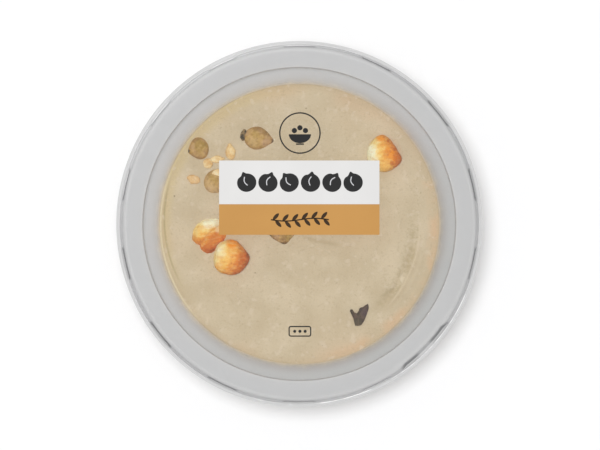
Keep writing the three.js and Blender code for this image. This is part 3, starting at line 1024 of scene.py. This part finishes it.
def leaf_finish():
    """Dry, dark leaf with paler veins."""
    finish = Finish("parsley_leaf")
    mottle = finish.noise(650, 4)
    tone = finish.ramp(mottle, (0.3, 52, 34, 14), (0.5, 76, 55, 39), (0.7, 98, 76, 60))
    tone = finish.patched(tone, LEAF_MIDDLE, LEAF_PATCHES)
    for line in LEAF_VEINS:
        for start, end in pairwise(line):
            vein = finish.stroke(LEAF_MIDDLE, start, end, 0.35)
            tone = finish.layered(tone, (0.5 * vein, 104, 84, 62))
    return finish.skin(tone, 0.5 + 0.2 * mottle, Normal=finish.bump(mottle, 0.1, 0.5))


leaf = flat_outline("parsley_leaf", leaf_points(), HUMMUS_LEVEL)
open_whole()
bpy.ops.mesh.quads_convert_to_tris(quad_method="BEAUTY", ngon_method="BEAUTY")
bpy.ops.mesh.subdivide(number_cuts=4)
bpy.ops.object.mode_set(mode="OBJECT")
reshape(leaf, lay_leaf)
apply_modifier(leaf, "SOLIDIFY", thickness=LEAF_THICKNESS, offset=0)
finished(leaf, leaf_finish(), 50)
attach(leaf, "root")
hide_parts("parsley_scrap")

# ---- Lid ----
# A thin clear cap, drawn from a sheet like the tub. Its middle is sunk below a flat rim, and its
# skirt hangs over the flange and ends in a lip. It has thirteen grip lugs and one thumb notch.

LID_WALL = 0.25 * MM
PANEL_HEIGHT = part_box("label_panel")[0].z - LID_WALL / 2
PLUG_RADIUS = 50.62 * MM
LID_RIM_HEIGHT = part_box("lid")[1].z - LID_WALL / 2
SKIRT_TOP_RADIUS = 57.2 * MM
SKIRT_FOOT_RADIUS = 58.27 * MM
SKIRT_FOOT_HEIGHT = 38.2 * MM
LIP_STEP_RADIUS = 58.62 * MM
LIP_RADIUS = 59.5 * MM
LIP_HEIGHT = 37.9 * MM
LUG_COUNT = 14
LUG_PITCH = 360 / LUG_COUNT
LUG_DEPTH = 0.45 * MM
LUG_TOP_HEIGHT = 41.4 * MM
LUG_FULL_HEIGHT = 39.9 * MM
LID_STEPS = 20 * LUG_COUNT


def lug_depth(point):
    """How far the grip lugs move a point of the skirt in."""
    angle = degrees(atan2(point.y, point.x)) % LUG_PITCH
    across = 1 - smooth_step(abs(angle - LUG_PITCH / 2), LUG_PITCH / 8, LUG_PITCH / 4)
    down = 1 - smooth_step(point.z, LUG_FULL_HEIGHT, LUG_TOP_HEIGHT)
    return LUG_DEPTH * across * down


def gripped_skirt(point):
    radius = hypot(point.x, point.y)
    if radius < FLANGE_RADIUS:
        return point
    held = smooth_step(radius, SKIRT_FOOT_RADIUS + 0.4 * MM, LIP_RADIUS - 0.1 * MM)
    notch = notch_depth(point, NOTCH_HALF_WIDTH - 1.5, NOTCH_HALF_WIDTH + 0.5)
    lug = lug_depth(point) * (1 - notch / NOTCH_DEPTH)
    return moved_in(point, (notch + lug) * (1 - held))


def lid_finish():
    """Clear in the middle, and frosted by the mould from the step of the rim outwards.

    Painted shade darkens the film where it bends at the grip lugs and at the corners of the thumb
    notch, on the rounded shoulder of the rim, and more on the upper right and lower left of the
    skirt.
    Painted light lifts the skirt at the upper left. A painted glint runs along the bead of the lip,
    strongest at the lower right, and a faint painted glint runs round the skirt between the lugs.
    """
    finish = Finish("lid_film")
    radius = finish.radius
    frosted = finish.step(radius, 50.75, 51)
    painted_shade_sides = finish.waves(2, 30)  # painted shade: darkest on the upper right and lower left of the skirt
    # Painted shade on the rounded shoulder of the rim.
    shoulder = (0.5 + 0.5 * painted_shade_sides) * finish.ring(57.12, 1.15)
    lugs = finish.step(finish.waves(LUG_COUNT, LUG_PITCH / 2), 0.58, 0.74)
    lugs = lugs * (1 - finish.arc(NOTCH_ANGLE, 10, 11)) * (0.2 + 0.8 * painted_shade_sides)
    corners = finish.arc(309, 2.2, 4.4) + finish.arc(322, 2.6, 5)  # of the thumb notch
    skirt = finish.step(radius, 56.5, 57)
    lip = finish.step(radius, 58.6, 58.9)
    foot = finish.step(finish.height, 38.8, 38.3) * finish.step(radius, 58.75, 58.45)
    # Painted shade where the film bends at the lugs and the corners of the notch, low on the skirt.
    painted_fold_shade = foot * (0.16 * painted_shade_sides + 0.26 * lugs + 0.3 * corners)
    # Painted light on the upper left of the skirt.
    lit = finish.arc(128, 28, 52) * finish.ring(57.8, 0.75)
    # A faint painted glint round the middle of the skirt, between the lugs.
    skirt_glint = (1 - lugs) * finish.ring(57.85, 0.32)
    # Painted glint along the bead of the lip: faint all round, in patches at the lower right.
    wear_and_glint = finish.step(finish.noise(130, 4), 0.38, 0.58)
    bead = (0.25 + 0.75 * wear_and_glint * finish.arc(298, 30, 50)) * finish.ring(58.6, 0.25)
    plug = finish.ring(PLUG_RADIUS / MM, 0.4)
    # Edge on, the lugs, the notch corners and the painted shade sides darken the film further:
    # painted shade.
    edge = 0.12 + 0.28 * plug + 0.12 * frosted * painted_shade_sides + skirt * (lugs + corners)
    haze = 0.01 + 0.49 * frosted + 0.3 * shoulder + 0.3 * (lip + lit + painted_fold_shade) + 0.4 * bead
    milk = finish.layered(
        colour(211, 211, 211),
        (shoulder, 188, 188, 188),
        (0.8 * painted_fold_shade, 70, 70, 70),
        (bead + 0.4 * lit + 0.2 * skirt_glint, 255, 255, 255),
    )
    shine = 1 - 0.6 * frosted
    return film(finish, (0.975, 0.975, 0.98, 1), milk, haze, edge, shine, roughness=0.06)


SKIRT_RUNS = 6  # straight stretches of the skirt, so that the lugs can bend it
SKIRT_TOP = Vector((SKIRT_TOP_RADIUS, LID_RIM_HEIGHT))
SKIRT_FOOT = Vector((SKIRT_FOOT_RADIUS, SKIRT_FOOT_HEIGHT))
lid_line = [
    (0, PANEL_HEIGHT),
    (PLUG_RADIUS - 0.05 * MM, PANEL_HEIGHT, 0.2 * MM),
    (PLUG_RADIUS + 0.05 * MM, LID_RIM_HEIGHT, 0.2 * MM),
    (*SKIRT_TOP, 0.4 * MM),
]
for run in range(1, SKIRT_RUNS):
    lid_line.append((*SKIRT_TOP.lerp(SKIRT_FOOT, 0.4 + 0.6 * run / SKIRT_RUNS), 0))
lid_line += [
    (*SKIRT_FOOT, 0.12 * MM),
    (LIP_STEP_RADIUS, SKIRT_FOOT_HEIGHT, 0.06 * MM),
    (LIP_STEP_RADIUS + 0.42 * MM, LIP_HEIGHT + 0.02 * MM, 0.06 * MM),
    (LIP_RADIUS, LIP_HEIGHT),
]
lid = turned("lid_shell", rounded_line(lid_line), LID_STEPS)
reshape(lid, gripped_skirt)
give_wall(lid, LID_WALL)
finished(lid, lid_finish())
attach(lid, "root")
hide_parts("lid")

# ---- Label ----
# Two fields of printed film stuck to the middle of the lid, a pale one above a mustard one. The
# print is in dark ink: a row of chickpeas, a sprig, a bowl in a ring, and a small framed field.

LABEL_ROUNDING = 0.06 * MM
INK_HEIGHT = 0.03 * MM
PANEL_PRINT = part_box("label_panel")[1].z
LID_TOP = PANEL_HEIGHT + LID_WALL / 2
label_pieces = []


def label_plate(node, name, finish):
    """A thin plate that fills a label node, with its edges and corners a little rounded."""
    low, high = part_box(node)
    bpy.ops.mesh.primitive_cube_add(size=1, location=(low + high) / 2, scale=high - low)
    plate = named(name)
    bpy.ops.object.transform_apply(location=True, rotation=True, scale=True)
    open_whole()
    bpy.ops.mesh.bevel(offset=LABEL_ROUNDING, segments=3, affect="EDGES")
    bpy.ops.object.mode_set(mode="OBJECT")
    finished(plate, finish, 50)
    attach(plate, "root")
    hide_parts(node)
    label_pieces.append(plate)
    return plate


def print_finish(name, ink, wear_and_glint):
    """Ink on film: a faint cloudiness, a fine screen grain and a satin gloss."""
    finish = Finish(name)
    clouds = finish.noise(55, 3)
    grain = finish.noise(2600, 2)
    cloudy = finish.step(clouds + 0.25 * (grain - 0.5), 0.35, 0.65)
    tone = finish.mix(cloudy, colour(*ink), colour(*wear_and_glint))
    ripple = finish.bump(finish.noise(220, 2) + 0.3 * grain, 0.02, 0.3)
    return finish.skin(tone, 0.34 + 0.12 * clouds, Normal=ripple)


pale_print = print_finish("label_pale", (216, 215, 214), (219, 218, 217))
panel = label_plate("label_panel", "label_pale_field", pale_print)
mustard_print = print_finish("label_mustard", (189, 140, 77), (192, 143, 79))
band = label_plate("label_band", "label_mustard_field", mustard_print)


def inked(pieces, name, finish):
    """Gives flat shapes the thickness of ink and makes them one print."""
    whole = joined(name, pieces)
    open_whole()
    bpy.ops.mesh.extrude_region_move(TRANSFORM_OT_translate={"value": (0, 0, INK_HEIGHT)})
    bpy.ops.mesh.select_all(action="SELECT")
    bpy.ops.mesh.normals_make_consistent(inside=False)
    bpy.ops.object.mode_set(mode="OBJECT")
    whole.data.materials.append(finish)
    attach(whole, "root")
    label_pieces.append(whole)


def mark(x, y, points, height, turn=0):
    """A flat mark: an outline in mm, turned round its own middle and moved to its place."""
    spots = [swung(*point, turn) for point in points]
    spots = [(MM * (x + along), MM * (y + up)) for along, up in spots]
    return flat_outline("mark", spots, height)


def round_outline(steps, reach):
    """Points round a middle, at the distance that reach gives for each angle."""
    turns = [tau * i / steps for i in range(steps)]
    return [(reach(turn) * cos(turn), reach(turn) * sin(turn)) for turn in turns]


def printed_chickpea(beak):
    """Outline of a chickpea drawn flat: round, with a beak and a cleft beside it."""

    def reach(turn):
        from_beak = (turn - beak + pi) % tau - pi
        hook = 0.24 * bell(from_beak, 0.17)
        cleft = 0.07 * bell(from_beak - 0.48, 0.2)
        return ROW_SIZE * (1 - 0.03 * cos(2 * from_beak) + hook - cleft)

    return round_outline(72, reach)


def strip(line, width):
    """Outline of a strip of even width along a line of points."""
    line = [Vector(point) for point in line]
    left, right = [], []
    for i, point in enumerate(line):
        along = (line[min(i + 1, len(line) - 1)] - line[max(i - 1, 0)]).normalized()
        side = Vector((-along.y, along.x)) * width / 2
        left.append(point + side)
        right.append(point - side)
    return right + left[::-1]


LABEL_MIDDLE = 0.2  # how far right of the tub's middle the print stands, in mm as all below
ROW_HEIGHT = 13.4
ROW_TURNS = (110, 68, 122, 82, 58, 104)
ROW_PITCH = 6.9
ROW_SIZE = 3.05
CREASE_LINE = 0.3
row, creases = [], []
for i, turn in enumerate(ROW_TURNS):
    x = LABEL_MIDDLE + ROW_PITCH * (i - (len(ROW_TURNS) - 1) / 2)
    row.append(mark(x, ROW_HEIGHT, printed_chickpea(radians(turn)), PANEL_PRINT))
    crease = [(0.66 - 0.12 * step, 0.2 * sin(pi * step / 8)) for step in range(9)]
    crease = strip([ROW_SIZE * Vector(point) for point in crease], CREASE_LINE)
    creases.append(mark(x, ROW_HEIGHT, crease, PANEL_PRINT + INK_HEIGHT / 2, turn))
dark_ink = print_finish("dark_ink", (34, 34, 35), (38, 38, 38))
inked(row, "printed_chickpeas", dark_ink)
pale_ink = print_finish("pale_ink", (200, 200, 203), (206, 206, 209))
inked(creases, "printed_creases", pale_ink)

SPRIG_HEIGHT = 1.4
SPRIG_HALF = 9.4
SPRIG_LEAVES = 6
STEM_LINE = 0.42
SPRIG_LEAF_LENGTH = 2.9
SPRIG_LEAF_WIDTH = 1.15
SPRIG_LEAF_TURN = 48


def stem_height(x):
    return 0.45 * sin(x / SPRIG_HALF * pi)


def leaf_print():
    """Outline of a small leaf that is pointed at both ends."""
    points = []
    for i in range(24):
        along, aside = 1 + cos(tau * i / 24), sin(tau * i / 24)
        aside *= abs(aside) ** 0.4
        points.append((SPRIG_LEAF_LENGTH / 2 * along, SPRIG_LEAF_WIDTH / 2 * aside))
    return points


stem = [SPRIG_HALF * (i / 20 - 1) for i in range(41)]
stem = strip([(x, stem_height(x)) for x in stem], STEM_LINE)
sprig = [mark(LABEL_MIDDLE, SPRIG_HEIGHT, stem, PANEL_PRINT)]
for i in range(SPRIG_LEAVES):
    x = SPRIG_HALF * (2 * (i + 0.2) / SPRIG_LEAVES - 1)
    for side, foot in ((1, x), (-1, x + 0.8)):
        place = (LABEL_MIDDLE + foot, SPRIG_HEIGHT + stem_height(foot))
        sprig.append(mark(*place, leaf_print(), PANEL_PRINT, SPRIG_LEAF_TURN * side))
brown_ink = print_finish("brown_ink", (52, 36, 20), (58, 42, 24))
inked(sprig, "printed_sprig", brown_ink)

BADGE_HEIGHT = 29.5
BADGE_RADIUS = 6.75
BADGE_LINE = 0.45
BOWL_HEIGHT = BADGE_HEIGHT - 0.4
BOWL_HALF = 3.6
BOWL_DEPTH = 2.9


def outlined(piece, width):
    """Leaves only a line of this width along the edge of a flat shape."""
    open_whole()
    bpy.ops.mesh.inset(thickness=MM * width, depth=0)
    bpy.ops.mesh.delete(type="FACE")
    bpy.ops.object.mode_set(mode="OBJECT")
    return piece


badge = round_outline(96, lambda turn: BADGE_RADIUS)
badge = [outlined(mark(LABEL_MIDDLE, BADGE_HEIGHT, badge, LID_TOP), BADGE_LINE)]
bowl = [pi * (1 + i / 24) for i in range(25)]
bowl = [(BOWL_HALF * cos(turn), BOWL_DEPTH * sin(turn)) for turn in bowl]
badge.append(mark(LABEL_MIDDLE, BOWL_HEIGHT, bowl, LID_TOP))
foot = strip([(-1.3, 0), (1.3, 0)], 0.45)
badge.append(mark(LABEL_MIDDLE, BOWL_HEIGHT - 3.2, foot, LID_TOP))
dot = round_outline(32, lambda turn: 0.85)
for dot_x, dot_y in ((-1.8, 1.2), (0, 2.1), (1.8, 1.2)):
    badge.append(mark(LABEL_MIDDLE + dot_x, BOWL_HEIGHT + dot_y, dot, LID_TOP))
inked(badge, "printed_badge", dark_ink)

FIELD_HEIGHT = -34.8
FIELD_HALF = (3.7, 1.75)
FIELD_CORNER = 0.8
FIELD_LINE = 0.4
field = []
for side_x, side_y, start in ((1, 1, 0), (-1, 1, 90), (-1, -1, 180), (1, -1, 270)):
    for step in range(9):
        turn = radians(start + 90 * step / 8)
        x = side_x * (FIELD_HALF[0] - FIELD_CORNER) + FIELD_CORNER * cos(turn)
        y = side_y * (FIELD_HALF[1] - FIELD_CORNER) + FIELD_CORNER * sin(turn)
        field.append((x, y))
framed = [outlined(mark(LABEL_MIDDLE, FIELD_HEIGHT, field, LID_TOP), FIELD_LINE)]
dot = round_outline(24, lambda turn: 0.5)
for dot_x in (-1.7, 0, 1.7):
    framed.append(mark(LABEL_MIDDLE + dot_x, FIELD_HEIGHT, dot, LID_TOP))
inked(framed, "printed_field", dark_ink)

# ---- Floor, light and camera ----
# A plain white table under a soft lamp almost straight above, a little to the upper left, in a
# white room. The camera looks straight down from far off.

FLOOR_SIZE = 6
bpy.ops.mesh.primitive_plane_add(size=FLOOR_SIZE)
floor = named("floor")
floor.data.materials.append(Finish("floor_white").skin((0.862, 0.867, 0.88, 1), 0.8))

room = bpy.data.worlds.new("white_room")
room.use_nodes = True
room.node_tree.nodes["Background"].inputs["Color"].default_value = (1, 1, 1, 1)
room.node_tree.nodes["Background"].inputs["Strength"].default_value = 0.46
bpy.context.scene.world = room

LAMP_TILT = radians(4.5)
LAMP_SIDE = radians(135)  # the direction that the lamp stands in, from +X towards +Y
bpy.ops.object.light_add(type="SUN")
lamp = bpy.context.active_object
lamp.data.energy = 2.33
lamp.data.angle = radians(15)
across = sin(LAMP_TILT)
toward = (across * cos(LAMP_SIDE), across * sin(LAMP_SIDE), cos(LAMP_TILT))
lamp.rotation_euler = Vector(toward).to_track_quat("Z", "Y").to_euler()
lamp.visible_glossy = False

# The label and its ink stand in for a print without thickness, so they cast no lamp shadow.
unshadowed = bpy.data.collections.new("unshadowed")
for piece in label_pieces:
    unshadowed.objects.link(piece)
lamp.light_linking.blocker_collection = unshadowed
for member in unshadowed.collection_objects:
    member.light_linking.link_state = "EXCLUDE"

LIP_PIXELS = 183  # radius of the lid's lip when the image is 600 wide
IMAGE_PIXELS = 600
LENS = 300
SENSOR = 36
MIDDLE_OFFSET = (0.7, -1.0)  # the tub's middle stands this many pixels left of and above centre
pixel = LIP_RADIUS / LIP_PIXELS
bpy.ops.object.camera_add(rotation=(0, 0, 0))
camera = bpy.context.active_object
camera.data.lens = LENS
camera.data.sensor_width = SENSOR
distance = IMAGE_PIXELS * pixel * LENS / SENSOR
camera.location = (MIDDLE_OFFSET[0] * pixel, MIDDLE_OFFSET[1] * pixel, LIP_HEIGHT + distance)
camera.data.clip_end = 20
bpy.context.scene.camera = camera
bpy.context.scene.view_settings.view_transform = "Standard"
